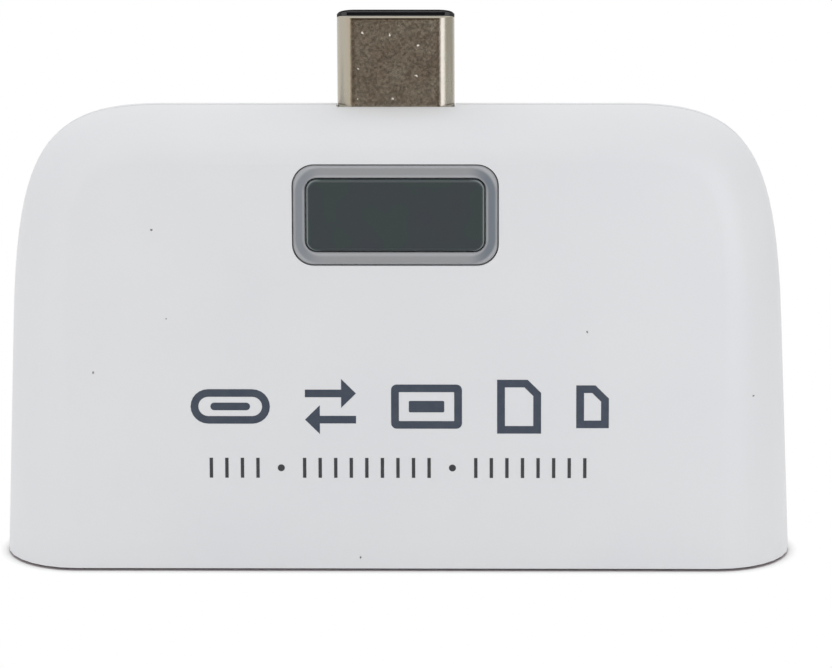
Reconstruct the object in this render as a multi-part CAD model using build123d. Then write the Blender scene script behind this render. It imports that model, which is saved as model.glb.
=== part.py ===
from build123d import *
import os
from math import cos, hypot, radians, sin, tan

# Card reader on a plug: a wedge-shaped housing in two shells rests on its base (z = 0), with a flat plug
# pointing up, a window on the front (-Y), and a host port and two card slots in the base.
# Lengths are in millimetres and angles in degrees.

# Fits
FIT = 0.1                   # play round what passes through a moulding
SNUG = 0.03                 # play round a core in its sleeve, or a contact in its groove
CONTENT_ROOM = 0.19         # least room between the contents and the housing's inner wall

# Housing
WALL = 1.4
BASE_WALL = 1.5
SIDE_ROOM = 5.65            # from the connectors to the housing's widest point, at the base
TOP_ROOM = 0.2              # behind the plug, under the top
SIDE_TAPER = 2.4
CORNER_WIDTH = 10.83        # of the large upper corners, across and up
CORNER_HEIGHT = 15.6
CORNER_TOP_PULL = 0.757     # how square the corner is, as a share of its width and of its height
CORNER_SIDE_PULL = 0.807
RIM_ANGLES = [90 * i / 7 for i in range(-7, 8)]         # of the outlines round the rim, outside and inside
INNER_RIM_ANGLES = [90 * i / 2 for i in range(-2, 3)]
FOOT_HEIGHT = 0.2           # low foot round the base, set back all round
FOOT_INSET = 0.7
LIP_THICKNESS = 0.6         # of the rear shell's lips inside the front one, along straight runs
LIP_DEPTH = 0.8
GROOVE_WIDTH = 0.06         # fine groove along the parting line
GROOVE_DEPTH = 0.1
LEAD_IN = 0.4               # chamfer round the card slots' mouths

# Window on the front
LENS_WIDTH = 12.5
LENS_HEIGHT = 5.12
LENS_CORNER = 0.75
LENS_PROUD = 0.12
LENS_BEVEL = 0.2
RING_SIDE = 0.9             # visible width of the ring, beside the lens and above it
RING_TOP = 0.965
RING_CORNER = 1.45
RING_PROUD = 0.06
RING_EDGE = 0.15
RING_INNER_EDGE = 0.08
WINDOW_DROP = 7.06          # from the housing's top to the window's centre
WINDOW_POCKET = 0.8         # depth of the pocket that holds ring and lens
WINDOW_LEDGE = 0.6          # of the pocket's floor, under the lens

# Circuit board
BOARD_FRONT = 0.2           # y of its front face
BOARD_THICKNESS = 1.0
BOARD_CLEAR = 0.6           # from its edge to the housing's inner wall

# Bosses and rib that hold the board between the shells
BOSS_DIAMETER = 3.0
RIB_WIDTH = 1.5
RIB_LENGTH = 3.0
PIN_DIAMETER = 1.5
PIN_GRIP = 0.9              # of a pin in its socket
PIN_PLAY = 0.25             # round a pin in the board
BOSS_GAP = 0.4              # from a boss or the rib to the next connector
BOSS_INSET = 0.85           # of the bosses from the connectors' outer edges

# Plug
PLUG_WIDTH = 8.25
PLUG_THICKNESS = 2.4
PLUG_SHEET = 0.25
PLUG_REACH = 6.4            # above the housing's top
PLUG_ROOT = 4.8             # from the board's edge to the housing's top
PLUG_RIM = 0.1              # chamfer on both edges of the sleeve's rim
PLUG_PLAY = 0.05            # round the plug in the housing's straight-sided opening
PLUG_OPENING_CORNER = 0.2
CORE_RECESS = 0.05          # of the core behind the rim
MOUTH_WIDTH = 6.9
MOUTH_DEPTH = 6.2
PLUG_SPAN = 5.5             # from the first contact of a row to the last
PLUG_PITCH = 0.5
PLUG_CONTACT_WIDTH = 0.25
PLUG_CONTACT_SHEET = 0.15
PLUG_CONTACT_RECESS = 1.0
PLUG_TAIL = 1.2             # length on the board
LATCH_SHEET = 0.2
LATCH_ARM = 0.25
LATCH_BRIDGE = 1.0
LATCH_RECESS = 1.4
LATCH_HOOK = 0.3
LATCH_HOOK_LENGTH = 0.6

# Host port
PORT_WIDTH = 13.1
PORT_HEIGHT = 5.72
PORT_LENGTH = 13.2
PORT_SHEET = 0.3
PORT_CORNER = 0.6
PORT_RECESS = 0.2           # of its mouth behind the base
PORT_BLOCK = 2.5            # length of the rear block
TONGUE_WIDTH = 11.1
TONGUE_THICKNESS = 1.84
TONGUE_RECESS = 1.6
TONGUE_EDGE = 0.3
PORT_POLES = (-3.5, -1.0, 1.0, 3.5)
PORT_CONTACT_WIDTH = 1.0
PORT_CONTACT_SHEET = 0.2
PORT_CONTACT_RECESS = 0.6   # behind the tongue's tip
PORT_TAIL = 1.6
PORT_TAB = 1.2              # solder tab on each side: reach, length and distance from the mouth
PORT_TAB_LENGTH = 3.0
PORT_TAB_START = 5.0
LEAF_WIDTH = 1.8            # spring leaves in the port's two wide walls
LEAF_LENGTH = 5.0
LEAF_START = 3.6
LEAF_PLACE = 3.2            # from the port's middle
LEAF_BOW = 0.35
LEAF_CREST = 4.0            # from a leaf's root to where it bows most
LEAF_SLIT = 0.3
CONNECTOR_GAP = 4.6         # between the port and the large card slot

# Card slots
SLOT_RAIL = 1.15
SLOT_FLOOR = 0.2
SLOT_SHEET = 0.2
SLOT_BAR = 2.0              # length of the frame's rear bar
SLOT_TAIL = 0.9
COVER_NOTCH_DEPTH = 2.0
COVER_NOTCH_SIDE = 3.0
SPRING_ROOT = 0.3           # where a contact rises and where it bows most, as shares of its spring's length
SPRING_CREST = 0.75
CARD_WIDTH = 24.3           # large card: width and height of the slot, length of the connector
CARD_HEIGHT = 2.2
CARD_LENGTH = 22.0
CARD_SPAN = 20.0
CARD_PITCH = 2.5
CARD_CONTACT_WIDTH = 0.9
CARD_CONTACT_SPRING = 8.0
CARD_CONTACT_BOW = 0.8
SMALL_WIDTH = 11.3          # small card, the same way
SMALL_HEIGHT = 1.1
SMALL_LENGTH = 14.4
SMALL_SPAN = 7.7
SMALL_PITCH = 1.1
SMALL_CONTACT_WIDTH = 0.7
SMALL_CONTACT_SPRING = 6.0
SMALL_CONTACT_BOW = 0.5
CARD_TO_PLUG = 4.4          # free board between the large card slot and the plug

# Parts on the board: width, height along z, thickness
CONTROLLER = (10.2, 5.3, 1.4)
CONTROLLER_SPAN = 8.89      # from the first lead of a side to the last
CONTROLLER_PITCH = 1.27
REGULATOR = (2.9, 1.6, 1.0)
REGULATOR_SPAN = 1.9
REGULATOR_PITCH = 0.95
HUB = (5.0, 5.0, 0.9)
CRYSTAL = (3.2, 2.5, 0.8)
LED = (1.6, 0.8, 0.6)
CAPACITOR = (1.6, 0.8, 0.8)
RESISTOR = (1.0, 0.5, 0.4)
CHIP_EDGE = 0.15
LEAD_SHEET = 0.12
LEAD_WIDTH = 0.3
LEAD_FOOT = 0.5
LEAD_RUN = 0.4              # from a lead's foot to the body
PART_GAP = 1.2              # between neighbours on the board
PASSIVE_SPAN = 5.2          # of the capacitors and resistors on each side of the middle
PASSIVE_PITCH = 2.6

# Heights
BOARD_BOTTOM = BASE_WALL + FIT
CARD_END = BOARD_BOTTOM + CARD_LENGTH
SMALL_END = BOARD_BOTTOM + SMALL_LENGTH
PORT_END = PORT_RECESS + PORT_LENGTH
BOARD_TOP = CARD_END + CARD_TO_PLUG
HOUSING_HEIGHT = BOARD_TOP + PLUG_ROOT
PLUG_TIP = HOUSING_HEIGHT + PLUG_REACH
CORE_TIP = PLUG_TIP - CORE_RECESS
WINDOW_HEIGHT = HOUSING_HEIGHT - WINDOW_DROP
CORNER_START = HOUSING_HEIGHT - CORNER_HEIGHT

# Depths
BOARD_BACK = BOARD_FRONT + BOARD_THICKNESS
PLUG_Y = BOARD_FRONT + BOARD_THICKNESS / 2
CARD_STACK = SLOT_FLOOR + CARD_HEIGHT + SLOT_SHEET
SMALL_STACK = SLOT_FLOOR + SMALL_HEIGHT + SLOT_SHEET
TOP_INNER = PLUG_Y + PLUG_THICKNESS / 2 + TOP_ROOM


def inner_half_at_base(height, half):
    """Half thickness of the cavity at the base that leaves room for what is as thick as that higher up."""
    rise = HOUSING_HEIGHT / (HOUSING_HEIGHT - height)
    return TOP_INNER + (half + CONTENT_ROOM - TOP_INNER) * rise


BASE_HALF = WALL + max(
    inner_half_at_base(0, PORT_HEIGHT / 2),
    inner_half_at_base(CARD_END, CARD_STACK - BOARD_FRONT),
    inner_half_at_base(SMALL_END, BOARD_BACK + SMALL_STACK),
)
TOP_HALF = WALL + TOP_INNER
FACE_SLOPE = (TOP_HALF - BASE_HALF) / HOUSING_HEIGHT

# Widths
CARD_OUTER = CARD_WIDTH + 2 * (SLOT_RAIL + SLOT_SHEET)
CONTENT_HALF = (PORT_WIDTH + CONNECTOR_GAP + CARD_OUTER) / 2
HOUSING_HALF = CONTENT_HALF + SIDE_ROOM
PORT_X = PORT_WIDTH / 2 - CONTENT_HALF
CARD_X = CONTENT_HALF - CARD_OUTER / 2
GAP_X = PORT_WIDTH + CONNECTOR_GAP / 2 - CONTENT_HALF
BOSS_X = CONTENT_HALF - BOSS_INSET
BOSS_Z = CARD_END + BOSS_GAP + BOSS_DIAMETER / 2
RIB_Z = PORT_END + PORT_TAIL + BOSS_GAP
FAR = HOUSING_HEIGHT + HOUSING_HALF  # reaches past the housing any way


def block(x0, x1, y0, y1, z0, z1):
    """Box given by its limits along each axis."""
    return Pos(x0, y0, z0) * Box(x1 - x0, y1 - y0, z1 - z0, align=(Align.MIN, Align.MIN, Align.MIN))


def rod(x, z, diameter, y0, y1):
    """Round bar along Y."""
    return Pos(x, (y0 + y1) / 2, z) * Rot(90, 0, 0) * Cylinder(diameter / 2, y1 - y0)


def strip(x, width, sheet, points):
    """Bent strip of sheet metal whose middle line runs through (y, z) points at one x."""
    path = Polyline(*[(x, y, z) for y, z in points])
    section = Plane(origin=path @ 0, x_dir=(1, 0, 0), z_dir=path % 0) * Rectangle(width, sheet)
    return sweep(section, path=path, transition=Transition.RIGHT)


def row(span, pitch):
    """Middles of evenly spaced things over a span, about zero."""
    steps = round(span / pitch)
    return [(i - steps / 2) * pitch for i in range(steps + 1)]


def on_front(part, x, z):
    """Part drawn on a board face at y = 0, placed on the board's front."""
    return Pos(x, BOARD_FRONT, z) * Rot(0, 0, 180) * part


def on_back(part, x, z):
    """The same, on the board's back."""
    return Pos(x, BOARD_BACK, z) * part


# Housing

def half_thickness(z):
    """Half thickness of the wedge."""
    return BASE_HALF + FACE_SLOPE * z


def side(z):
    """Half width of the wedge at the parting plane, below its upper corners."""
    return HOUSING_HALF - z * tan(radians(SIDE_TAPER))


def top_half_run():
    """Half length of the straight top, between the upper corners."""
    return side(CORNER_START) - CORNER_WIDTH


def housing_outline(rim_angle, inset, bottom):
    """Outline of the housing at one angle round its rim: 0 at the parting plane, 90 where the front begins.

    The rim is a full round, so an outline lies inside the parting outline by the round's own depth there.
    Each upper corner goes through the true offset of the parting corner's middle point.
    """
    turn = radians(rim_angle)

    def depth(z):
        return inset + (half_thickness(z) - inset) * (1 - cos(turn))

    def at(x, z):
        return Vector(x, -(half_thickness(z) - inset) * sin(turn), z)

    corner_top = top_half_run()
    outer_x = [side(CORNER_START), 0, corner_top + CORNER_TOP_PULL * CORNER_WIDTH, corner_top]
    outer_z = [CORNER_START, CORNER_START + CORNER_SIDE_PULL * CORNER_HEIGHT, HOUSING_HEIGHT, HOUSING_HEIGHT]
    outer_x[1] = side(outer_z[1])
    middle_x = (outer_x[0] + 3 * outer_x[1] + 3 * outer_x[2] + outer_x[3]) / 8
    middle_z = (outer_z[0] + 3 * outer_z[1] + 3 * outer_z[2] + outer_z[3]) / 8
    run = outer_x[0] + outer_x[1] - outer_x[2] - outer_x[3]
    rise = outer_z[2] + outer_z[3] - outer_z[0] - outer_z[1]
    middle_x -= depth(middle_z) * rise / hypot(run, rise)
    middle_z -= depth(middle_z) * run / hypot(run, rise)

    foot_x = side(bottom) - depth(bottom)
    start_x = side(CORNER_START) - depth(CORNER_START)
    slope = (start_x - foot_x) / (CORNER_START - bottom)
    top = HOUSING_HEIGHT - depth(HOUSING_HEIGHT)
    side_pull = (8 * middle_z - 4 * (CORNER_START + top)) / 3
    top_pull = (8 * middle_x - 4 * (start_x + corner_top)) / 3 - slope * side_pull
    corner = (
        (start_x, CORNER_START),
        (start_x + slope * side_pull, CORNER_START + side_pull),
        (corner_top + top_pull, top),
        (corner_top, top),
    )
    return Wire([
        Line(at(-foot_x, bottom), at(foot_x, bottom)),
        Line(at(foot_x, bottom), at(start_x, CORNER_START)),
        Bezier(*[at(x, z) for x, z in corner]),
        Line(at(corner_top, top), at(-corner_top, top)),
        Bezier(*[at(-x, z) for x, z in reversed(corner)]),
        Line(at(-start_x, CORNER_START), at(-foot_x, bottom)),
    ])


def housing_form(inset, bottom, angles=RIM_ANGLES):
    """Solid wedge with full-round sides and top, drawn in all round by an inset and ending at a bottom.

    Its round is made of narrow straight strips, because a smooth loft here takes several times the facets.
    """
    return Solid.make_loft([housing_outline(angle, inset, bottom) for angle in angles], True)


def layer(y0, y1, z0=-FAR):
    """Everything between two depths, above a height."""
    return block(-FAR, FAR, y0, y1, z0, FAR)


def front_plane(z):
    """Plane of the sloping front face, at a height on its middle line, facing out."""
    return Plane(origin=(0, -half_thickness(z), z), x_dir=(1, 0, 0), z_dir=(0, -1, -FACE_SLOPE))


def window_block(width, height, corner, low, high):
    """Rounded block on the window's place, between two levels over the front face."""
    plane = front_plane(WINDOW_HEIGHT).offset(low)
    return extrude(plane * RectangleRounded(width, height, corner), amount=high - low)


def front_face(part):
    """Foremost face of a part in the window, along the housing's front."""
    return part.faces().filter_by(front_plane(WINDOW_HEIGHT)).sort_by(Axis.Y)[0]


def slot_mouth(x, y, width, height):
    """Opening through the base for a card, with a chamfered lead-in."""
    place = Pos(x, y, 0)
    hole = Rectangle(width + 2 * FIT, height + 2 * FIT)
    funnel = Rectangle(width + 2 * FIT + 2 * LEAD_IN, height + 2 * FIT + 2 * LEAD_IN)
    return place * extrude(hole, amount=BASE_WALL + FIT) + place * extrude(funnel, amount=LEAD_IN, taper=45)


def housing_openings():
    """What is cut through both shells: plug, port and card slots."""
    plug = RectangleRounded(PLUG_WIDTH + 2 * PLUG_PLAY, PLUG_THICKNESS + 2 * PLUG_PLAY, PLUG_OPENING_CORNER)
    port = RectangleRounded(PORT_WIDTH + 2 * FIT, PORT_HEIGHT + 2 * FIT, PORT_CORNER + FIT)
    card_y = BOARD_FRONT - SLOT_FLOOR - CARD_HEIGHT / 2
    small_y = BOARD_BACK + SLOT_FLOOR + SMALL_HEIGHT / 2
    return [
        Pos(0, PLUG_Y, BOARD_TOP) * extrude(plug, amount=PLUG_ROOT + PLUG_REACH),
        Pos(PORT_X, 0, 0) * extrude(port, amount=BASE_WALL + FIT),
        slot_mouth(CARD_X, card_y, CARD_WIDTH, CARD_HEIGHT),
        slot_mouth(CARD_X, small_y, SMALL_WIDTH, SMALL_HEIGHT),
    ]


def lip_runs(play):
    """Room in front of the parting plane along the straight sides and top, with play at its ends."""
    run = top_half_run() + play
    front = -LIP_DEPTH - play
    sides = block(-FAR, FAR, front, 0, BOARD_BOTTOM + LIP_DEPTH - play, CORNER_START + play)
    return sides + block(-run, run, front, 0, CORNER_START, FAR)


RING_WIDTH = LENS_WIDTH + 2 * RING_SIDE
RING_HEIGHT = LENS_HEIGHT + 2 * RING_TOP


def housing_shells():
    """Front and rear shell, parted at y = 0, with lips, groove, bosses, rib, openings and window pocket."""
    body = housing_form(0, -WALL) & layer(-FAR, FAR, FOOT_HEIGHT)
    body += housing_form(FOOT_INSET, -WALL) & block(-FAR, FAR, -FAR, FAR, 0, FOOT_HEIGHT)
    cavity = housing_form(WALL, BASE_WALL, INNER_RIM_ANGLES)
    shell = body - cavity
    for opening in housing_openings():
        shell -= opening

    lip_form = housing_form(WALL - LIP_THICKNESS, BASE_WALL, INNER_RIM_ANGLES)
    rebate_form = housing_form(WALL - LIP_THICKNESS - FIT, BASE_WALL, INNER_RIM_ANGLES)
    lips = (lip_form - cavity) & lip_runs(0)
    lips -= housing_openings()[0]
    groove = (body - housing_form(GROOVE_DEPTH, GROOVE_DEPTH)) & layer(-GROOVE_WIDTH, 0)

    front = shell & layer(-FAR, 0)
    front -= rebate_form & lip_runs(FIT)
    front -= groove
    pocket = (RING_WIDTH + 2 * FIT, RING_HEIGHT + 2 * FIT)
    front -= window_block(*pocket, RING_CORNER + FIT, -WINDOW_POCKET, WALL)
    sight = (LENS_WIDTH - 2 * WINDOW_LEDGE, LENS_HEIGHT - 2 * WINDOW_LEDGE)
    front -= window_block(*sight, LENS_CORNER, -2 * WALL, 0)
    rear = (shell & layer(0, FAR)) + lips

    seat = half_thickness(BOSS_Z) - WALL / 2
    for x in (-BOSS_X, BOSS_X):
        front += rod(x, BOSS_Z, BOSS_DIAMETER, -seat, BOARD_FRONT)
        front += rod(x, BOSS_Z, PIN_DIAMETER, BOARD_FRONT, BOARD_BACK + PIN_GRIP)
        rear += rod(x, BOSS_Z, BOSS_DIAMETER, BOARD_BACK, seat)
        rear -= rod(x, BOSS_Z, PIN_DIAMETER + FIT, BOARD_BACK, BOARD_BACK + PIN_GRIP + FIT)
    rib_top = RIB_Z + RIB_LENGTH
    seat = half_thickness(rib_top) - WALL / 2
    rib = (GAP_X - RIB_WIDTH / 2, GAP_X + RIB_WIDTH / 2)
    front += block(*rib, -seat, BOARD_FRONT, RIB_Z, rib_top)
    rear += block(*rib, BOARD_BACK, seat, RIB_Z, rib_top)
    return front, rear


def window_bezel():
    """Ring round the lens, seated in the pocket."""
    ring = window_block(RING_WIDTH, RING_HEIGHT, RING_CORNER, -WINDOW_POCKET, RING_PROUD)
    ring = chamfer(front_face(ring).outer_wire().edges(), RING_EDGE)
    ring -= window_block(LENS_WIDTH + 2 * FIT, LENS_HEIGHT + 2 * FIT, LENS_CORNER + FIT, -WALL, WALL)
    return chamfer(front_face(ring).inner_wires().edges(), RING_INNER_EDGE)


def window_lens():
    """Dark panel with a bevelled edge, seated inside the ring."""
    panel = window_block(LENS_WIDTH, LENS_HEIGHT, LENS_CORNER, -WINDOW_POCKET, LENS_PROUD)
    return chamfer(front_face(panel).outer_wire().edges(), LENS_BEVEL)


# Plug

def plug_prism(shrink, low, high):
    """Rounded bar with the plug's section, drawn in all round."""
    section = SlotOverall(PLUG_WIDTH - 2 * shrink, PLUG_THICKNESS - 2 * shrink)
    return extrude(Pos(0, PLUG_Y, low) * section, amount=high - low)


def plug_shell():
    """Drawn sleeve with a chamfered rim."""
    sleeve = plug_prism(0, BOARD_TOP, PLUG_TIP) - plug_prism(PLUG_SHEET, BOARD_TOP, PLUG_TIP)
    return chamfer(sleeve.faces().sort_by(Axis.Z)[-1].edges(), PLUG_RIM)


def plug_contacts(face, outward):
    """One row of contacts, in line with a face of the board and lying outside it."""
    low = min(face, face + outward * PLUG_CONTACT_SHEET)
    high = low + PLUG_CONTACT_SHEET
    half = PLUG_CONTACT_WIDTH / 2
    start = BOARD_TOP - PLUG_TAIL
    end = PLUG_TIP - PLUG_CONTACT_RECESS
    return [block(x - half, x + half, low, high, start, end) for x in row(PLUG_SPAN, PLUG_PITCH)]


def plug_latch():
    """U-shaped plate in the plug's middle plane, with a hook on each arm."""
    low = PLUG_Y - LATCH_SHEET / 2
    high = PLUG_Y + LATCH_SHEET / 2
    inner = MOUTH_WIDTH / 2
    outer = inner + LATCH_ARM
    end = PLUG_TIP - LATCH_RECESS
    plate = block(-outer, outer, low, high, BOARD_TOP, BOARD_TOP + LATCH_BRIDGE)
    for x0, x1 in ((-outer, -inner), (inner, outer)):
        plate += block(x0, x1, low, high, BOARD_TOP, end)
    for x0, x1 in ((-outer, LATCH_HOOK - inner), (inner - LATCH_HOOK, outer)):
        plate += block(x0, x1, low, high, end - LATCH_HOOK_LENGTH, end)
    return plate


def plug_insulator(metal):
    """Core with a flat mouth, grooved for the metal inside it."""
    core = plug_prism(PLUG_SHEET + SNUG, BOARD_TOP, CORE_TIP)
    half = MOUTH_WIDTH / 2
    core -= block(-half, half, BOARD_FRONT, BOARD_BACK, PLUG_TIP - MOUTH_DEPTH, PLUG_TIP)
    for piece in metal:
        core -= piece
    return core


# Host port

def port_leaf(x, side_sign):
    """Spring leaf in a wide wall: flush at its root, bowed into the port, its tip turned back."""
    wall = PORT_HEIGHT / 2
    root = PORT_RECESS + LEAF_START + LEAF_LENGTH
    line = ((root, 0), (root - LEAF_CREST, LEAF_BOW), (root - LEAF_LENGTH, LEAF_BOW / 2))
    outer = [(wall - bow, z) for z, bow in line]
    inner = [(wall - PORT_SHEET - bow, z) for z, bow in reversed(line)]
    corners = [(x - LEAF_WIDTH / 2, side_sign * y, z) for y, z in outer + inner]
    return extrude(make_face(Polyline(*corners, close=True)), amount=LEAF_WIDTH, dir=(1, 0, 0))


def port_shell():
    """Sheet sleeve with spring leaves and a solder tab on each side, lying on the board."""
    outer = RectangleRounded(PORT_WIDTH, PORT_HEIGHT, PORT_CORNER)
    inner = RectangleRounded(
        PORT_WIDTH - 2 * PORT_SHEET, PORT_HEIGHT - 2 * PORT_SHEET, PORT_CORNER - PORT_SHEET)
    sleeve = Pos(0, 0, PORT_RECESS) * extrude(outer - inner, amount=PORT_LENGTH)
    half = LEAF_WIDTH / 2 + LEAF_SLIT
    low = PORT_RECESS + LEAF_START
    wall = PORT_HEIGHT / 2
    for x in (-LEAF_PLACE, LEAF_PLACE):
        sleeve -= block(x - half, x + half, -wall, wall, low - LEAF_SLIT, low + LEAF_LENGTH)
        sleeve += port_leaf(x, 1) + port_leaf(x, -1)
    tab = PORT_RECESS + PORT_TAB_START
    for x0 in (-PORT_WIDTH / 2 - PORT_TAB, PORT_WIDTH / 2 - PORT_SHEET):
        x1 = x0 + PORT_TAB + PORT_SHEET
        sleeve += block(x0, x1, BOARD_FRONT - PORT_SHEET, BOARD_FRONT, tab, tab + PORT_TAB_LENGTH)
    return Pos(PORT_X, 0, 0) * sleeve


def port_contacts():
    """Straight strips on the tongue's front face, with tails on the board."""
    low = PORT_RECESS + TONGUE_RECESS + PORT_CONTACT_RECESS
    high = PORT_END + PORT_TAIL
    face = BOARD_FRONT - PORT_CONTACT_SHEET
    half = PORT_CONTACT_WIDTH / 2
    return [block(PORT_X + x - half, PORT_X + x + half, face, BOARD_FRONT, low, high) for x in PORT_POLES]


def port_tongue(contacts):
    """Tongue with a rounded tip, on a rear block that closes the sleeve."""
    half = TONGUE_WIDTH / 2
    low = PORT_RECESS + TONGUE_RECESS
    tongue = block(-half, half, BOARD_FRONT, BOARD_FRONT + TONGUE_THICKNESS, low, PORT_END)
    tongue = fillet(tongue.faces().sort_by(Axis.Z)[0].edges().filter_by(Axis.X), TONGUE_EDGE)
    margin = PORT_SHEET + SNUG
    rear = RectangleRounded(PORT_WIDTH - 2 * margin, PORT_HEIGHT - 2 * margin, PORT_CORNER - PORT_SHEET)
    tongue += Pos(0, 0, PORT_END - PORT_BLOCK) * extrude(rear, amount=PORT_BLOCK)
    tongue = Pos(PORT_X, 0, 0) * tongue
    for contact in contacts:
        tongue -= contact
    return tongue


# Card slots

def card_slot(width, height, length, span, pitch, contact_width, spring, bow):
    """Frame, cover and contacts of a card slot, with its mouth at z = 0 and the board's face at y = 0."""
    half = width / 2
    outer = half + SLOT_RAIL
    top = SLOT_FLOOR + height
    bar = length - SLOT_BAR
    frame = block(-outer, outer, 0, top, 0, length) - block(-half, half, SLOT_FLOOR, top, 0, bar)

    middle = SLOT_FLOOR / 2
    line = (
        (middle, length + SLOT_TAIL),
        (middle, bar - SPRING_ROOT * spring),
        (middle + bow, bar - SPRING_CREST * spring),
        (middle + bow / 2, bar - spring),
    )
    contacts = []
    for x in row(span, pitch):
        groove = contact_width / 2 + SNUG
        frame -= block(x - groove, x + groove, 0, SLOT_FLOOR, bar - spring - SLOT_FLOOR, length)
        contacts.append(strip(x, contact_width, SLOT_FLOOR, line))

    fold = outer + SLOT_SHEET
    cover = block(-fold, fold, 0, top + SLOT_SHEET, 0, length) - block(-outer, outer, 0, top, 0, length)
    notch = half - COVER_NOTCH_SIDE
    cover -= block(-notch, notch, top, top + SLOT_SHEET, 0, COVER_NOTCH_DEPTH)
    return frame, cover, contacts


# Board and the parts on it

def circuit_board():
    """Board that follows the housing inside, notched round the port and drilled for the bosses' pins."""
    outline = make_face(housing_outline(0, WALL + BOARD_CLEAR, BOARD_BOTTOM))
    board = Pos(0, BOARD_FRONT, 0) * extrude(outline, amount=BOARD_THICKNESS, dir=(0, 1, 0))
    board &= block(-FAR, FAR, 0, FAR, BOARD_BOTTOM, BOARD_TOP)
    half = PORT_WIDTH / 2 + FIT
    board -= block(PORT_X - half, PORT_X + half, 0, FAR, 0, PORT_END + FIT)
    for x in (-BOSS_X, BOSS_X):
        board -= rod(x, BOSS_Z, PIN_DIAMETER + 2 * PIN_PLAY, BOARD_FRONT, BOARD_BACK)
    return board


def slab(size):
    """Moulded body on a board face at y = 0, its outer edges chamfered."""
    width, height, thickness = size
    body = block(-width / 2, width / 2, 0, thickness, -height / 2, height / 2)
    return chamfer(body.faces().sort_by(Axis.Y)[-1].edges(), CHIP_EDGE)


def leaded_chip(size, span, pitch):
    """Moulded body with bent leads along its two long sides."""
    thickness = size[2]
    body_edge = size[1] / 2
    shoulder = thickness / 2
    sole = LEAD_SHEET / 2
    line = (
        (sole, body_edge + LEAD_RUN + LEAD_FOOT),
        (sole, body_edge + LEAD_RUN),
        (shoulder, body_edge + LEAD_RUN / 2),
        (shoulder, body_edge),
    )
    pieces = [slab(size)]
    for x in row(span, pitch):
        lead = strip(x, LEAD_WIDTH, LEAD_SHEET, line)
        pieces += [lead, Rot(0, 180, 0) * lead]
    return Compound(pieces)


def passives(size, place, z):
    """Two equal rows of small parts, one on each side of the middle."""
    middle = (PLUG_WIDTH + PASSIVE_SPAN) / 2 + PART_GAP
    places = [sign * (middle + x) for x in row(PASSIVE_SPAN, PASSIVE_PITCH) for sign in (-1, 1)]
    return Compound([place(slab(size), x, z) for x in places])


def board_parts():
    """Chips and small parts, placed from the connectors beside them."""
    lead_reach = LEAD_RUN + LEAD_FOOT
    controller_z = PORT_END + PORT_TAIL + PART_GAP + lead_reach + CONTROLLER[1] / 2
    behind_port = PORT_END + PART_GAP + HUB[1] / 2
    above_small = SMALL_END + SLOT_TAIL + PART_GAP + lead_reach + REGULATOR[1] / 2
    passive_z = CARD_END + SLOT_TAIL + PART_GAP / 2 + CAPACITOR[1] / 2
    crystal_x = PORT_X - HUB[0] / 2 - PART_GAP - CRYSTAL[0] / 2
    controller = leaded_chip(CONTROLLER, CONTROLLER_SPAN, CONTROLLER_PITCH)
    regulator = leaded_chip(REGULATOR, REGULATOR_SPAN, REGULATOR_PITCH)
    return {
        "controller_chip": on_front(controller, PORT_X, controller_z),
        "hub_chip": on_back(slab(HUB), PORT_X, behind_port),
        "crystal": on_back(slab(CRYSTAL), crystal_x, behind_port),
        "voltage_regulator": on_back(regulator, CARD_X, above_small),
        "indicator_led": on_front(slab(LED), 0, WINDOW_HEIGHT),
        "capacitors": passives(CAPACITOR, on_front, passive_z),
        "resistors": passives(RESISTOR, on_back, passive_z),
    }


def reader_parts():
    """Every piece of the reader by its name."""
    parts = {}
    parts["front_shell"], parts["rear_shell"] = housing_shells()
    parts["window_bezel"] = window_bezel()
    parts["window_lens"] = window_lens()

    front_row = plug_contacts(BOARD_FRONT, -1)
    rear_row = plug_contacts(BOARD_BACK, 1)
    latch = plug_latch()
    parts["plug_shell"] = plug_shell()
    parts["plug_insulator"] = plug_insulator(front_row + rear_row + [latch])
    parts["plug_contacts_front"] = Compound(front_row)
    parts["plug_contacts_rear"] = Compound(rear_row)
    parts["plug_latch"] = latch

    strips = port_contacts()
    parts["port_shell"] = port_shell()
    parts["port_tongue"] = port_tongue(strips)
    parts["port_contacts"] = Compound(strips)

    card = card_slot(CARD_WIDTH, CARD_HEIGHT, CARD_LENGTH, CARD_SPAN, CARD_PITCH,
                     CARD_CONTACT_WIDTH, CARD_CONTACT_SPRING, CARD_CONTACT_BOW)
    small = card_slot(SMALL_WIDTH, SMALL_HEIGHT, SMALL_LENGTH, SMALL_SPAN, SMALL_PITCH,
                      SMALL_CONTACT_WIDTH, SMALL_CONTACT_SPRING, SMALL_CONTACT_BOW)
    for name, place, slot in (("card_slot", on_front, card), ("small_card", on_back, small)):
        frame, cover, contacts = slot
        parts[name + "_base"] = place(frame, CARD_X, BOARD_BOTTOM)
        parts[name + "_cover"] = place(cover, CARD_X, BOARD_BOTTOM)
        parts[name + "_contacts"] = place(Compound(contacts), CARD_X, BOARD_BOTTOM)

    parts["circuit_board"] = circuit_board()
    parts.update(board_parts())
    return parts


os.makedirs("parts", exist_ok=True)
for name, shape in reader_parts().items():
    export_step(shape, f"parts/{name}.step")
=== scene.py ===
from math import cos, pi, radians, sin

import bmesh
import bpy
from mathutils import Matrix, Vector
from mathutils.bvhtree import BVHTree


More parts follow.
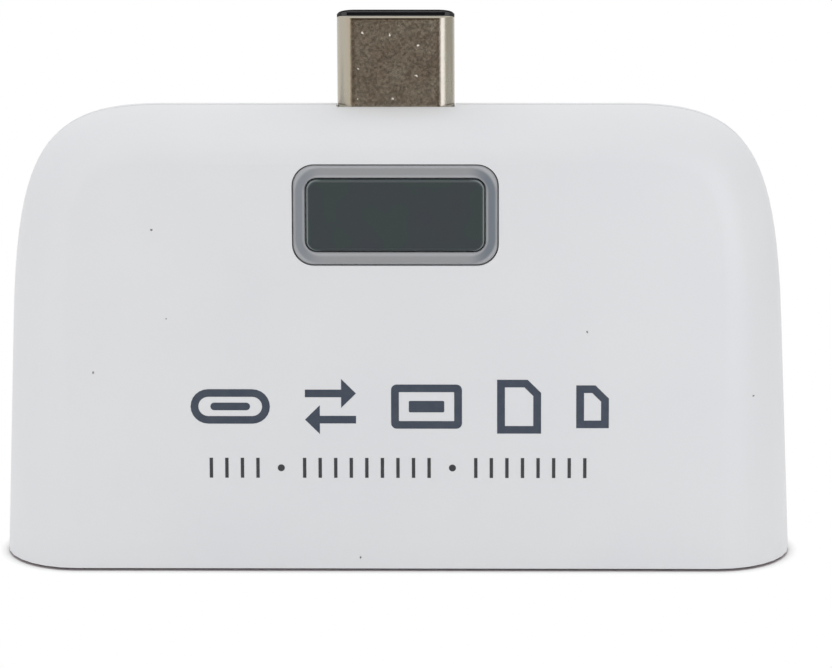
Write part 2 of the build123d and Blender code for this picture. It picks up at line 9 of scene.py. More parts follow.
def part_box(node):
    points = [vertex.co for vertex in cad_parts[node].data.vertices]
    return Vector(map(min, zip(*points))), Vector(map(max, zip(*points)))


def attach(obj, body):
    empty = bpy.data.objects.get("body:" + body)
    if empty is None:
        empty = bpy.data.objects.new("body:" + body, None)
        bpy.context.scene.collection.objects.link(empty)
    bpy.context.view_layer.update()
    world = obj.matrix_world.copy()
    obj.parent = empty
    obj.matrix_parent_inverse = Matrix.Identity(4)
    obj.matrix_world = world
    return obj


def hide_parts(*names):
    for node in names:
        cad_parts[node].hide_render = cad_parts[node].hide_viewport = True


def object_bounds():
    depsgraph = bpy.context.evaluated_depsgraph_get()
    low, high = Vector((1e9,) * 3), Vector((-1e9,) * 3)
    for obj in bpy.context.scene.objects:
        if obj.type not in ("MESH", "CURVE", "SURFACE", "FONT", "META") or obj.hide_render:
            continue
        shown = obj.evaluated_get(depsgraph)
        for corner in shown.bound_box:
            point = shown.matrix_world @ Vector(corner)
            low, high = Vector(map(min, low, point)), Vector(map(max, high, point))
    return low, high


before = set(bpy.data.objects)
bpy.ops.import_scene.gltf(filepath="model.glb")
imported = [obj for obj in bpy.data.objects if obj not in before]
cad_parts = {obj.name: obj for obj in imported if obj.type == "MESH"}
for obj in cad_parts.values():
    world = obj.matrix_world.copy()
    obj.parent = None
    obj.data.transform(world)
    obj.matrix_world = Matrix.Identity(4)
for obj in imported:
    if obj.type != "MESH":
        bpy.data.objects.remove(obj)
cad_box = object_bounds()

# Looks of a white card reader that stands on its base with a flat plug pointing up, seen from the front.
# Sizes are written in millimetres and turned to metres by MM; angles are in degrees.
MM = 0.001

# Camera
VIEW_AZIMUTH = 1.049
VIEW_ELEVATION = 15.788
VIEW_ROLL = 0.24
VIEW_DISTANCE = 383.63
VIEW_RIGHT = 1.345          # of the point that the camera looks at, from the reader's middle
VIEW_UP = 16.01             # of the same point, over the floor
LENS_LENGTH = 233.38
SENSOR_WIDTH = 36.0
NEAR_CLIP = 10.0

# Printed marks on the front
MARK_MIDDLE = 12.0          # height of the row of marks
MARK_LEFT = -14.5
MARK_RIGHT = 15.0
MARK_STROKE = 0.55
PLUG_MARK = (5.6, 2.5)      # width and height, as for the other marks
ARROW_LENGTH = 3.6
ARROW_SPREAD = 0.95         # of the two arrows, up and down from the row's middle
ARROW_HEAD = 1.9            # length and half height of an arrow's head, in strokes
PORT_MARK = (5.0, 3.2)
PORT_CORNER = 0.4
TONGUE_CORNER = 0.1         # of the bar inside the port's mark
CARD_MARK = (3.1, 3.9)
SMALL_CARD_MARK = (2.3, 3.1)
MARK_CLIP = 0.95            # of the cards' clipped corners
CLIP_SHRINK = 0.59          # of that clip at the stroke's inner edge, in strokes
PAD_MIDDLE = 7.55           # height of the row of fine strokes
PAD_LEFT = -13.2
PAD_HEIGHT = 1.45
PAD_WIDTH = 0.24
PAD_PITCH = 1.10
PAD_GROUPS = (4, 9, 8)      # contacts of the port and of the two card slots
DOT_SIZE = 0.5              # of the dots between the groups
DOT_GAP = 1.5               # from a dot to the strokes beside it, in pitches
INK_SUNK = 0.01             # of the ink's underside below the surface
INK_PROUD = 0.012
THIN_INK = 0.1              # share of a paler tone where the ink is thin
PALE_TONE = 0.35

# Finishes
BEZEL_CORNER = 1.9          # radius of the bezel's outer corners
BEZEL_END = (2.2, 0.6)      # from the bezel's ends: where its painted bluer shade begins and where it is full
LENS_CORNER = 0.75
LENS_GAP = 0.1              # between the lens and the bezel
LENS_LINE = 0.08            # painted highlight line round the lens, from its edge
LENS_FADE = (0.02, 0.06)    # from that line's middle: where it begins to fade and where it is gone
LENS_END = (1.1, 0.3)       # from the lens's ends: where that line begins to brighten and where it is full
BLACK_TIP_DEPTH = 0.28           # of the black at the plug's tip: black like the core, partly painted dark reflection
BLACK_TIP_FRONT = 0.15            # bright front edge before that black, which deepens from there to the ends
RIM_LINE = 0.17             # painted shade line under the plug's rim, from its tip
RIM_LINE_HALF = 0.045       # half that line's width
BORDER_BAND_WIDTH = 0.3           # of the darker brown band along both borders of the plug's flats
PIT_SIZE = 0.2              # of the plating's grain
# Painted glints: a few bright flecks on the plug's flats
FLECK_SPACING = 1.9
FLECK_STRAY = 0.35          # of a glint's outline
ROOT_DROP = 0.02            # from the housing's top to the painted light at the root of the plug's round ends

# Dust on the front: place across and up
DUST = ((-17.09, 24.70), (-16.14, 18.32), (13.45, 17.40), (-21.35, 14.44), (25.2, 12.62), (-2.56, 1.01))
DUST_SIZE = 0.15
DUST_LEAST = (0.3, 0.3, 0.3)
DUST_MOST = (0.7, 0.6, 0.4)     # of a speck along its axes, as shares of DUST_SIZE
DUST_SEED = 4

# Shading of the smooth copies
MERGE_DISTANCE = 0.0005
FLAT_ANGLE = 0.05
SMOOTH_ANGLE = 28
FLAT_AREA = 60.0            # flat faces from this size on keep their own shading up to their borders
FACE_WEIGHT = "__mod_weightednormals_faceweight"    # what the weighted normals read on each face
STRONG = 16384              # its value on a face of strong influence

# Stage
FLOOR_RADIUS = 420.0
FLOOR_SIDES = 96
FLOOR_SHADE = 0.8           # from the reader's edge to where the floor is plain white
FLOOR_DARK_END = 0.06       # of the painted contact shadow, a dark strip under the reader's edge, past that edge
CARD_DISTANCE = 60.0        # dark card low in front between two bright panels, which only reflections show
CARD_HALF_WIDTH = 22.0
PANEL_REACH = 76.0
CARD_HEIGHT = 50.0
LEFT_LEVEL = 1.0            # brightness of the two bright panels
RIGHT_LEVEL = 2.3
SKY_LEVEL = 1.1             # light from above
HORIZON_LEVEL = 0.78        # light from the sides
KEY_PLACE = (-20, -110, 150)
KEY_SIZE = 120
KEY_POWER = 0.012           # in watts


# Colours, nodes and materials

def linear(code):
    """Linear colour of an sRGB hex code."""
    channels = [int(code[i:i + 2], 16) / 255 for i in (1, 3, 5)]
    return (*[c / 12.92 if c <= 0.04045 else ((c + 0.055) / 1.055) ** 2.4 for c in channels], 1.0)


def per(size):
    """Scale of a pattern on Object coordinates whose features have a size in millimetres."""
    return 1 / (size * MM)


def add_node(tree, kind, inputs=None, **settings):
    """Node with its settings; an input, by name or number, takes a value or another node's output."""
    made = tree.nodes.new(kind)
    for name, value in settings.items():
        setattr(made, name, value)
    for name, value in (inputs or {}).items():
        if isinstance(value, bpy.types.NodeSocket):
            tree.links.new(value, made.inputs[name])
        else:
            made.inputs[name].default_value = value
    return made


def bare_material(name):
    """Material with an empty tree."""
    material = bpy.data.materials.new(name)
    material.use_nodes = True
    material.node_tree.nodes.clear()
    return material, material.node_tree


def new_material(name, **sockets):
    """Material with one shader whose sockets are set, its tree and the Object coordinates."""
    material, tree = bare_material(name)
    shader = add_node(tree, "ShaderNodeBsdfPrincipled", sockets)
    add_node(tree, "ShaderNodeOutputMaterial", {"Surface": shader.outputs["BSDF"]})
    place = add_node(tree, "ShaderNodeTexCoord").outputs["Object"]
    return material, tree, shader, place


def moulded_white_abs():
    """White ABS moulded in a finely eroded tool: satin, even in colour, with soft broad highlights."""
    material, tree, shader, place = new_material(
        "moulded_white_abs", **{"Roughness": 0.46, "IOR": 1.53, "Specular IOR Level": 0.45})
    cloud = add_node(tree, "ShaderNodeTexNoise", {"Vector": place, "Scale": per(9), "Detail": 2})
    tint = add_node(tree, "ShaderNodeMix", {
        "Factor": cloud.outputs["Fac"], "A": linear("#dcdde1"), "B": linear("#e2e3e4"),
    }, data_type="RGBA")
    grain = add_node(tree, "ShaderNodeTexNoise", {"Vector": place, "Scale": per(0.2), "Detail": 3})
    bump = add_node(tree, "ShaderNodeBump", {
        "Height": grain.outputs["Fac"], "Strength": 0.35, "Distance": 0.012 * MM})
    tree.links.new(tint.outputs["Result"], shader.inputs["Base Color"])
    tree.links.new(bump.outputs["Normal"], shader.inputs["Normal"])
    return material


def core_distance(tree, place, mask, centre, core):
    """Distance from a flat core about a centre, whose half sizes are given; the mask leaves out an axis."""
    flat = add_node(tree, "ShaderNodeVectorMath", {0: place, 1: mask}, operation="MULTIPLY")
    offset = add_node(tree, "ShaderNodeVectorMath", {
        0: flat.outputs[0], 1: centre}, operation="SUBTRACT")
    reach = add_node(tree, "ShaderNodeVectorMath", {0: offset.outputs[0]}, operation="ABSOLUTE")
    past = add_node(tree, "ShaderNodeVectorMath", {0: reach.outputs[0], 1: core}, operation="SUBTRACT")
    outside = add_node(tree, "ShaderNodeVectorMath", {
        0: past.outputs[0], 1: (0, 0, 0)}, operation="MAXIMUM")
    length = add_node(tree, "ShaderNodeVectorMath", {0: outside.outputs[0]}, operation="LENGTH")
    return length.outputs["Value"]


def grey_translucent_plastic():
    """Grey polycarbonate light guide: painted highlights along both edges, painted bluer shade at its ends.
    """
    material, tree, shader, place = new_material(
        "grey_translucent_plastic", **{"Roughness": 0.3, "IOR": 1.58})
    low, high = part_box("window_bezel")
    inner_low, inner_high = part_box("window_lens")
    corner = BEZEL_CORNER * MM
    distance = core_distance(
        tree, place, (1, 0, 1), ((low.x + high.x) / 2, 0, (low.z + high.z) / 2),
        ((high.x - low.x) / 2 - corner, 0, (high.z - low.z) / 2 - corner))
    width = ((high.x - low.x) - (inner_high.x - inner_low.x)) / 2 - LENS_GAP * MM
    from_middle = add_node(tree, "ShaderNodeMath", {
        0: distance, 1: corner - width / 2}, operation="SUBTRACT")
    from_edge = add_node(tree, "ShaderNodeMath", {0: from_middle.outputs[0]}, operation="ABSOLUTE")
    # painted highlights: paler towards both edges of the ring
    pale = add_node(tree, "ShaderNodeMapRange", {
        "Value": from_edge.outputs[0], "From Min": width * 0.2, "From Max": width * 0.48,
    }, interpolation_type="SMOOTHSTEP")
    across = add_node(tree, "ShaderNodeSeparateXYZ", {"Vector": place})
    tone = linear("#96979a")
    # painted shade: bluer towards both ends of the bezel
    for end, inwards, blue in ((high.x, -MM, "#737a83"), (low.x, MM, "#868b92")):
        near = add_node(tree, "ShaderNodeMapRange", {
            "Value": across.outputs["X"],
            "From Min": end + BEZEL_END[0] * inwards, "From Max": end + BEZEL_END[1] * inwards,
        }, interpolation_type="SMOOTHSTEP")
        end_shaded = add_node(tree, "ShaderNodeMix", {
            "Factor": near.outputs["Result"], "A": tone, "B": linear(blue)}, data_type="RGBA")
        tone = end_shaded.outputs["Result"]
    tint = add_node(tree, "ShaderNodeMix", {
        "Factor": pale.outputs["Result"], "A": tone, "B": linear("#a9abae")}, data_type="RGBA")
    flow = add_node(tree, "ShaderNodeTexNoise", {"Vector": place, "Scale": per(0.5), "Detail": 3})
    bump = add_node(tree, "ShaderNodeBump", {
        "Height": flow.outputs["Fac"], "Strength": 0.2, "Distance": 0.01 * MM})
    tree.links.new(tint.outputs["Result"], shader.inputs["Base Color"])
    tree.links.new(bump.outputs["Normal"], shader.inputs["Normal"])
    return material


def smoked_acrylic():
    """Smoked acrylic panel: dark, polished, clouded between grey-green and grey-violet, with a painted
    highlight line in its bevel that is brightest round both ends."""
    material, tree, shader, place = new_material(
        "smoked_acrylic", **{"Roughness": 0.08, "IOR": 1.49})
    low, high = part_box("window_lens")
    corner = LENS_CORNER * MM
    half_width = (high.x - low.x) / 2
    half_height = (high.z - low.z) / 2
    distance = core_distance(
        tree, place, (1, 0, 1), ((low.x + high.x) / 2, 0, (low.z + high.z) / 2),
        (half_width - corner, 0, half_height - corner))
    # painted highlight: a pale line in the bevel, strongest round both ends
    beside = add_node(tree, "ShaderNodeMath", {
        0: distance, 1: corner - LENS_LINE * MM}, operation="SUBTRACT")
    away = add_node(tree, "ShaderNodeMath", {0: beside.outputs[0]}, operation="ABSOLUTE")
    line = add_node(tree, "ShaderNodeMapRange", {
        "Value": away.outputs[0], "From Min": LENS_FADE[0] * MM, "From Max": LENS_FADE[1] * MM,
        "To Min": 1.0, "To Max": 0.0})
    axes = add_node(tree, "ShaderNodeSeparateXYZ", {"Vector": place})
    across = add_node(tree, "ShaderNodeMath", {0: axes.outputs["X"]}, operation="ABSOLUTE")
    ends = add_node(tree, "ShaderNodeMapRange", {
        "Value": across.outputs[0], "From Min": half_width - LENS_END[0] * MM,
        "From Max": half_width - LENS_END[1] * MM, "To Min": 0.12, "To Max": 0.8})
    # strength of the painted highlight
    glow = add_node(tree, "ShaderNodeMath", {
        0: line.outputs["Result"], 1: ends.outputs["Result"]}, operation="MULTIPLY")
    haze = add_node(tree, "ShaderNodeTexNoise", {"Vector": place, "Scale": per(3.5), "Detail": 1})
    cloud = add_node(tree, "ShaderNodeMapRange", {
        "Value": haze.outputs["Fac"], "From Min": 0.35, "From Max": 0.65})
    tint = add_node(tree, "ShaderNodeMix", {
        "Factor": cloud.outputs["Result"], "A": linear("#3b4745"), "B": linear("#3e4348"),
    }, data_type="RGBA")
    highlighted = add_node(tree, "ShaderNodeMix", {
        "Factor": glow.outputs[0], "A": tint.outputs["Result"], "B": linear("#98a0a2")}, data_type="RGBA")
    tree.links.new(highlighted.outputs["Result"], shader.inputs["Base Color"])
    return material


def grainy_nickel_steel():
    """Steel sleeve, stamped and nickel plated: warm and finely pitted on its flats, with brown borders,
    painted shade under the rim and a few painted glints; smooth at its round ends, with painted light at
    their dull root. Its tip is painted black like the core, partly as painted dark reflection, but for the
    front edge."""
    material, tree, shader, place = new_material("grainy_nickel_steel", **{"Specular IOR Level": 0.1})
    low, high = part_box("plug_shell")
    axes = add_node(tree, "ShaderNodeSeparateXYZ", {"Vector": place})
    normal = add_node(tree, "ShaderNodeSeparateXYZ", {
        "Vector": add_node(tree, "ShaderNodeNewGeometry").outputs["Normal"]})
    square = add_node(tree, "ShaderNodeMath", {0: normal.outputs["Y"]}, operation="ABSOLUTE")
    flat = add_node(tree, "ShaderNodeMapRange", {
        "Value": square.outputs[0], "From Min": 0.97, "From Max": 0.995}).outputs["Result"]

    stain = add_node(tree, "ShaderNodeTexNoise", {"Vector": place, "Scale": per(1.2), "Detail": 3})
    pits = add_node(tree, "ShaderNodeTexNoise", {
        "Vector": place, "Scale": per(PIT_SIZE), "Detail": 4, "Roughness": 0.8})
    pitted = add_node(tree, "ShaderNodeMapRange", {
        "Value": pits.outputs["Fac"], "From Min": 0.38, "From Max": 0.62})
    grain = add_node(tree, "ShaderNodeMix", {"Factor": flat, "A": 0.55, "B": pitted.outputs["Result"]})
    shades = [add_node(tree, "ShaderNodeMix", {
        "Factor": stain.outputs["Fac"], "A": linear(brown), "B": linear(olive)}, data_type="RGBA")
        for brown, olive in (("#8e857b", "#8d8a7d"), ("#cdc4b6", "#cbc8b6"))]
    plating = add_node(tree, "ShaderNodeMix", {
        "Factor": grain.outputs["Result"],
        "A": shades[0].outputs["Result"], "B": shades[1].outputs["Result"],
    }, data_type="RGBA")

    # painted glints: a few bright flecks with ragged outlines, on the flats only
    bent = add_node(tree, "ShaderNodeTexNoise", {"Vector": place, "Scale": per(0.3)})
    strayed = add_node(tree, "ShaderNodeVectorMath", {
        0: bent.outputs["Color"], 1: (FLECK_STRAY * MM,) * 3, 2: place}, operation="MULTIPLY_ADD")
    ragged = add_node(tree, "ShaderNodeSeparateXYZ", {"Vector": strayed.outputs[0]})
    facing = add_node(tree, "ShaderNodeCombineXYZ", {"X": ragged.outputs["X"], "Y": ragged.outputs["Z"]})
    cells = add_node(tree, "ShaderNodeTexVoronoi", {
        "Vector": facing.outputs[0], "Scale": per(FLECK_SPACING)}, voronoi_dimensions="2D")
    chance = add_node(tree, "ShaderNodeSeparateColor", {"Color": cells.outputs["Color"]})
    reach = add_node(tree, "ShaderNodeMapRange", {
        "Value": chance.outputs[0], "From Min": 0.55, "From Max": 1.0, "To Min": 0.0, "To Max": 0.05})
    speck = add_node(tree, "ShaderNodeMath", {
        0: cells.outputs["Distance"], 1: reach.outputs["Result"]}, operation="LESS_THAN")
    painted_glint = add_node(tree, "ShaderNodeMath", {0: speck.outputs[0], 1: flat}, operation="MULTIPLY")
    across = add_node(tree, "ShaderNodeMath", {0: axes.outputs["X"]}, operation="ABSOLUTE")
    border = (high.x - low.x - (high.y - low.y)) / 2 + BORDER_BAND_WIDTH / 2 * MM
    beside = add_node(tree, "ShaderNodeMapRange", {
        "Value": across.outputs[0], "From Min": border - BORDER_BAND_WIDTH * MM, "From Max": border,
        "To Max": 0.6})
    # painted shade: a dark line under the rim
    rim_shade_line = add_node(tree, "ShaderNodeMath", {
        0: axes.outputs["Z"], 1: high.z - RIM_LINE * MM, 2: RIM_LINE_HALF * MM}, operation="COMPARE")
    # darker brown band along the flats' borders, with the painted shade line under the rim, on the flats
    # only
    dark = add_node(tree, "ShaderNodeMath", {
        0: beside.outputs["Result"], 1: rim_shade_line.outputs[0]}, operation="MAXIMUM")
    border_band_and_rim_shade = add_node(tree, "ShaderNodeMath", {0: dark.outputs[0], 1: flat}, operation="MULTIPLY")
    darkened = add_node(tree, "ShaderNodeMix", {
        "Factor": border_band_and_rim_shade.outputs[0], "A": plating.outputs["Result"], "B": linear("#66543d"),
    }, data_type="RGBA")
    glinted = add_node(tree, "ShaderNodeMix", {
        "Factor": painted_glint.outputs[0], "A": darkened.outputs["Result"], "B": linear("#f4efe6"),
    }, data_type="RGBA")

    # tip painted black like the core, partly as painted dark reflection; the front edge stays bright metal
    black_tip_edge = add_node(tree, "ShaderNodeMapRange", {
        "Value": axes.outputs["Y"], "From Min": low.y + BLACK_TIP_FRONT * MM, "From Max": (low.y + high.y) / 2,
        "To Min": high.z, "To Max": high.z - BLACK_TIP_DEPTH * MM,
    }, interpolation_type="SMOOTHSTEP")
    black_tip = add_node(tree, "ShaderNodeMath", {
        0: axes.outputs["Z"], 1: black_tip_edge.outputs["Result"]}, operation="GREATER_THAN").outputs[0]
    # painted light: a dull paler grey at the root of the round ends, for light through the housing
    below = add_node(tree, "ShaderNodeMath", {
        0: axes.outputs["Z"], 1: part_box("rear_shell")[1].z - ROOT_DROP * MM}, operation="LESS_THAN")
    at_ends = add_node(tree, "ShaderNodeMath", {0: 1.0, 1: flat}, operation="SUBTRACT")
    root = add_node(tree, "ShaderNodeMath", {
        0: below.outputs[0], 1: at_ends.outputs[0]}, operation="MULTIPLY").outputs[0]
    root_lit = add_node(tree, "ShaderNodeMix", {
        "Factor": root, "A": glinted.outputs["Result"], "B": linear("#c0bbad")}, data_type="RGBA")
    tint = add_node(tree, "ShaderNodeMix", {
        "Factor": black_tip, "A": root_lit.outputs["Result"], "B": linear("#232224")}, data_type="RGBA")
    painted_tip_and_root = add_node(tree, "ShaderNodeMath", {0: black_tip, 1: root}, operation="MAXIMUM").outputs[0]
    bare = add_node(tree, "ShaderNodeMath", {0: 1.0, 1: painted_tip_and_root}, operation="SUBTRACT")
    gloss = add_node(tree, "ShaderNodeMapRange", {
        "Value": stain.outputs["Fac"], "From Min": 0.3, "From Max": 0.7, "To Min": 0.2, "To Max": 0.28})
    dull = add_node(tree, "ShaderNodeMath", {0: painted_glint.outputs[0], 1: painted_tip_and_root}, operation="MAXIMUM")
    roughness = add_node(tree, "ShaderNodeMix", {
        "Factor": dull.outputs[0], "A": gloss.outputs["Result"], "B": 0.65})
    bump = add_node(tree, "ShaderNodeBump", {
        "Height": pits.outputs["Fac"], "Strength": 0.4, "Distance": 0.02 * MM})
    tree.links.new(tint.outputs["Result"], shader.inputs["Base Color"])
    tree.links.new(bare.outputs[0], shader.inputs["Metallic"])
    tree.links.new(roughness.outputs["Result"], shader.inputs["Roughness"])
    tree.links.new(bump.outputs["Normal"], shader.inputs["Normal"])
    return material


def plated_sheet():
    """Tin-plated steel sheet of the port and the card slots: bright, with fine rolling streaks."""
    material, tree, shader, place = new_material("plated_sheet", **{"Metallic": 1.0})
    stretched = add_node(tree, "ShaderNodeMapping", {"Vector": place, "Scale": (1.0, 1.0, 0.06)})
    streak = add_node(tree, "ShaderNodeTexNoise", {
        "Vector": stretched.outputs["Vector"], "Scale": per(0.12), "Detail": 3})
    tint = add_node(tree, "ShaderNodeMix", {
        "Factor": streak.outputs["Fac"], "A": linear("#b4b2ae"), "B": linear("#d6d5d1"),
    }, data_type="RGBA")
    dullness = add_node(tree, "ShaderNodeMapRange", {
        "Value": streak.outputs["Fac"], "To Min": 0.2, "To Max": 0.36})
    tree.links.new(tint.outputs["Result"], shader.inputs["Base Color"])
    tree.links.new(dullness.outputs["Result"], shader.inputs["Roughness"])
    return material


def moulded(name, dark, light, roughness, grain_size, cloud_size=3, gloss=0.5):
    """Moulded or fired body with a cloudy colour and a fine grain of a given size."""
    material, tree, shader, place = new_material(
        name, **{"Roughness": roughness, "IOR": 1.5, "Specular IOR Level": gloss})
    cloud = add_node(tree, "ShaderNodeTexNoise", {"Vector": place, "Scale": per(cloud_size), "Detail": 2})
    tint = add_node(tree, "ShaderNodeMix", {
        "Factor": cloud.outputs["Fac"], "A": linear(dark), "B": linear(light)}, data_type="RGBA")
    grain = add_node(tree, "ShaderNodeTexNoise", {"Vector": place, "Scale": per(grain_size), "Detail": 3})
    bump = add_node(tree, "ShaderNodeBump", {
        "Height": grain.outputs["Fac"], "Strength": 0.4, "Distance": 0.01 * MM})
    tree.links.new(tint.outputs["Result"], shader.inputs["Base Color"])
    tree.links.new(bump.outputs["Normal"], shader.inputs["Normal"])
    return material


def gold_plating():
    """Contacts in gold over nickel: warm and bright, duller where cards have rubbed them."""
    material, tree, shader, place = new_material("gold_plating", **{"Metallic": 1.0})
    rub = add_node(tree, "ShaderNodeTexNoise", {"Vector": place, "Scale": per(0.8), "Detail": 3})
    tint = add_node(tree, "ShaderNodeMix", {
        "Factor": rub.outputs["Fac"], "A": linear("#c79a45"), "B": linear("#e8c877")}, data_type="RGBA")
    dullness = add_node(tree, "ShaderNodeMapRange", {
        "Value": rub.outputs["Fac"], "To Min": 0.2, "To Max": 0.38})
    tree.links.new(tint.outputs["Result"], shader.inputs["Base Color"])
    tree.links.new(dullness.outputs["Result"], shader.inputs["Roughness"])
    return material


def printed_ink(name, code):
    """Pad-printed ink: matt, a little uneven where the pad has pressed it thin."""
    material, tree, shader, place = new_material(name, **{"Roughness": 0.5, "IOR": 1.48})
    film = add_node(tree, "ShaderNodeTexNoise", {"Vector": place, "Scale": per(0.6), "Detail": 3})
    solid = linear(code)
    thin = tuple((1 - THIN_INK) * c + THIN_INK * PALE_TONE for c in solid[:3])
    tint = add_node(tree, "ShaderNodeMix", {
        "Factor": film.outputs["Fac"], "A": solid, "B": (*thin, 1.0)}, data_type="RGBA")
    tree.links.new(tint.outputs["Result"], shader.inputs["Base Color"])
    return material


housing = moulded_white_abs()
bezel = grey_translucent_plastic()
lens = smoked_acrylic()
plug_steel = grainy_nickel_steel()
sheet = plated_sheet()
contact = gold_plating()
black = moulded("moulded_black_nylon", "#17171a", "#212124", 0.6, 0.15, gloss=0.15)
board = moulded("green_solder_mask", "#0f3a20", "#175030", 0.35, 0.3)
epoxy = moulded("moulded_epoxy", "#17171a", "#202024", 0.6, 0.08)
resin = moulded("clear_resin", "#d8d6c6", "#e6e4d4", 0.2, 0.3)
ceramic = moulded("fired_ceramic", "#a2835f", "#b5977a", 0.5, 0.1)
navy_ink = printed_ink("navy_ink", "#2a384a")
dark_ink = printed_ink("dark_ink", "#23262b")
dust = moulded("grey_dust", "#6d6b69", "#8b8986", 0.9, 0.05)

FINISHES = {
    "front_shell": housing,
    "rear_shell": housing,
    "window_bezel": bezel,
    "window_lens": lens,
    "plug_shell": plug_steel,
    "plug_insulator": black,
    "plug_contacts_front": contact,
    "plug_contacts_rear": contact,
    "plug_latch": sheet,
    "circuit_board": board,
    "port_shell": sheet,
    "port_tongue": black,
    "port_contacts": contact,
    "card_slot_base": black,
    "card_slot_cover": sheet,
    "card_slot_contacts": contact,
    "small_card_base": black,
    "small_card_cover": sheet,
    "small_card_contacts": contact,
    "controller_chip": epoxy,
    "hub_chip": epoxy,
    "voltage_regulator": epoxy,
    "crystal": sheet,
    "indicator_led": resin,
    "capacitors": ceramic,
    "resistors": epoxy,
}
SMOOTHED = (
    "front_shell", "rear_shell", "window_bezel", "window_lens",
    "plug_shell", "plug_insulator", "port_shell", "port_tongue",
)


# Pieces

def show(name, mesh, material):
    """Object at the origin with a mesh and one material."""
    piece = bpy.data.objects.new(name, mesh)
    bpy.context.scene.collection.objects.link(piece)
    mesh.materials.clear()
    mesh.materials.append(material)
    return piece


def baked(piece):
    """Turns a piece's modifiers into its plain mesh."""
    seen = piece.evaluated_get(bpy.context.evaluated_depsgraph_get())
    mesh = bpy.data.meshes.new_from_object(seen)
    piece.modifiers.clear()
    piece.data = mesh
    return piece


def weigh_flats(mesh):
    """Marks the faces of large flats as the ones that rule the shading at their borders."""
    flats = {}
    for face in mesh.polygons:
        facing = tuple(round(c, 3) for c in face.normal)
        flats.setdefault(facing, []).append(face)
    weight = mesh.attributes.new(FACE_WEIGHT, "INT", "FACE")
    for faces in flats.values():
        if sum(face.area for face in faces) > FLAT_AREA * MM ** 2:
            for face in faces:
                weight.data[face.index].value = STRONG


def smooth_copy(node):
    """Copy of a CAD node with its faces joined: round stretches shade smoothly and edges stay crisp."""
    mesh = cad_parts[node].data.copy()
    mesh.attributes.remove(mesh.attributes["custom_normal"])
    form = bmesh.new()
    form.from_mesh(mesh)
    bmesh.ops.remove_doubles(form, verts=form.verts, dist=MERGE_DISTANCE * MM)
    bmesh.ops.dissolve_limit(form, angle_limit=radians(FLAT_ANGLE), verts=form.verts, edges=form.edges)
    form.to_mesh(mesh)
    form.free()
    mesh.shade_smooth()
    mesh.set_sharp_from_angle(angle=radians(SMOOTH_ANGLE))
    weigh_flats(mesh)
    piece = show(node + "_skin", mesh, FINISHES[node])
    even = piece.modifiers.new("even", "WEIGHTED_NORMAL")
    even.keep_sharp = True
    even.use_face_influence = True
    baked(piece)
    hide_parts(node)
    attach(piece, "root")


for node, material in FINISHES.items():
    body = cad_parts[node].data
    body.materials.clear()
    body.materials.append(material)
for node in SMOOTHED:
    smooth_copy(node)


# Places on the front

front_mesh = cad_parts["front_shell"].data
front_tree = BVHTree.FromPolygons(
    [v.co for v in front_mesh.vertices], [p.vertices for p in front_mesh.polygons])


def on_front(x, z):
    """Point and outward normal of the front face at a place across and up, in millimetres."""
    start = Vector((x * MM, cad_box[0].y - MM, z * MM))
    point, normal, _, _ = front_tree.ray_cast(start, Vector((0, 1, 0)))
    return point, normal


def front_matrix(x, z):
    """Turns flat drawings, in metres, so that they lie on the front face about a place on it."""
    point, normal = on_front(x, z)
    right = Vector((1, 0, 0))
    up = normal.cross(right)
    return Matrix.Translation(point) @ Matrix((right, up, normal)).transposed().to_4x4()


# Printed marks: plain outlines of the plug, a pair of arrows, a port and two cards

def rounded(width, height, corner, steps=6):
    """Closed outline of a rounded rectangle."""
    points = []
    for turn, (sx, sz) in enumerate(((1, 1), (-1, 1), (-1, -1), (1, -1))):
        for step in range(steps + 1):
            angle = pi / 2 * (turn + step / steps)
            points.append((
                sx * (width / 2 - corner) + corner * cos(angle),
                sz * (height / 2 - corner) + corner * sin(angle),
            ))
    return points


def frame_mark(width, height, corner):
    """Outline of a rounded rectangle, drawn as a stroke."""
    inner = max(corner - MARK_STROKE, 0.05)
    return [
        rounded(width, height, corner),
        rounded(width - 2 * MARK_STROKE, height - 2 * MARK_STROKE, inner),
    ]


def card_mark(width, height, clip):
    """Outline of a card with one clipped corner, drawn as a stroke."""
    loops = []
    for inset, cut in ((0, clip), (MARK_STROKE, clip - CLIP_SHRINK * MARK_STROKE)):
        right = width / 2 - inset
        top = height / 2 - inset
        loops.append([
            (-right, -top), (right, -top), (right, top - cut), (right - cut, top), (-right, top)])
    return loops


def arrow_mark(z, length, sign):
    """Arrow along the row, pointing right or left."""
    head = ARROW_HEAD * MARK_STROKE
    tail = MARK_STROKE / 2
    neck = length / 2 - head
    outline = [
        (-length / 2, tail), (neck, tail), (neck, head), (length / 2, 0),
        (neck, -head), (neck, -tail), (-length / 2, -tail),
    ]
    return [[(sign * u, z + v) for u, v in outline]]


def ink_piece(name, loops, material, x, z):
    """Film of ink from closed outlines, lying on the front face about a place; inner outlines are holes."""
    drawing = bpy.data.curves.new(name, "CURVE")
    drawing.dimensions = "2D"
    drawing.fill_mode = "BOTH"
    drawing.extrude = (INK_SUNK + INK_PROUD) / 2 * MM
    for loop in loops:
        spline = drawing.splines.new("POLY")
        spline.points.add(len(loop) - 1)
        for point, (u, v) in zip(spline.points, loop):
            point.co = (u * MM, v * MM, 0, 1)
        spline.use_cyclic_u = True
    sketch = bpy.data.objects.new(name, drawing)
    mesh = bpy.data.meshes.new_from_object(sketch)
    bpy.data.objects.remove(sketch)
    lift = Matrix.Translation((0, 0, (INK_PROUD - INK_SUNK) / 2 * MM))
    mesh.transform(front_matrix(x, z) @ lift)
    piece = show(name, mesh, material)
    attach(piece, "root")


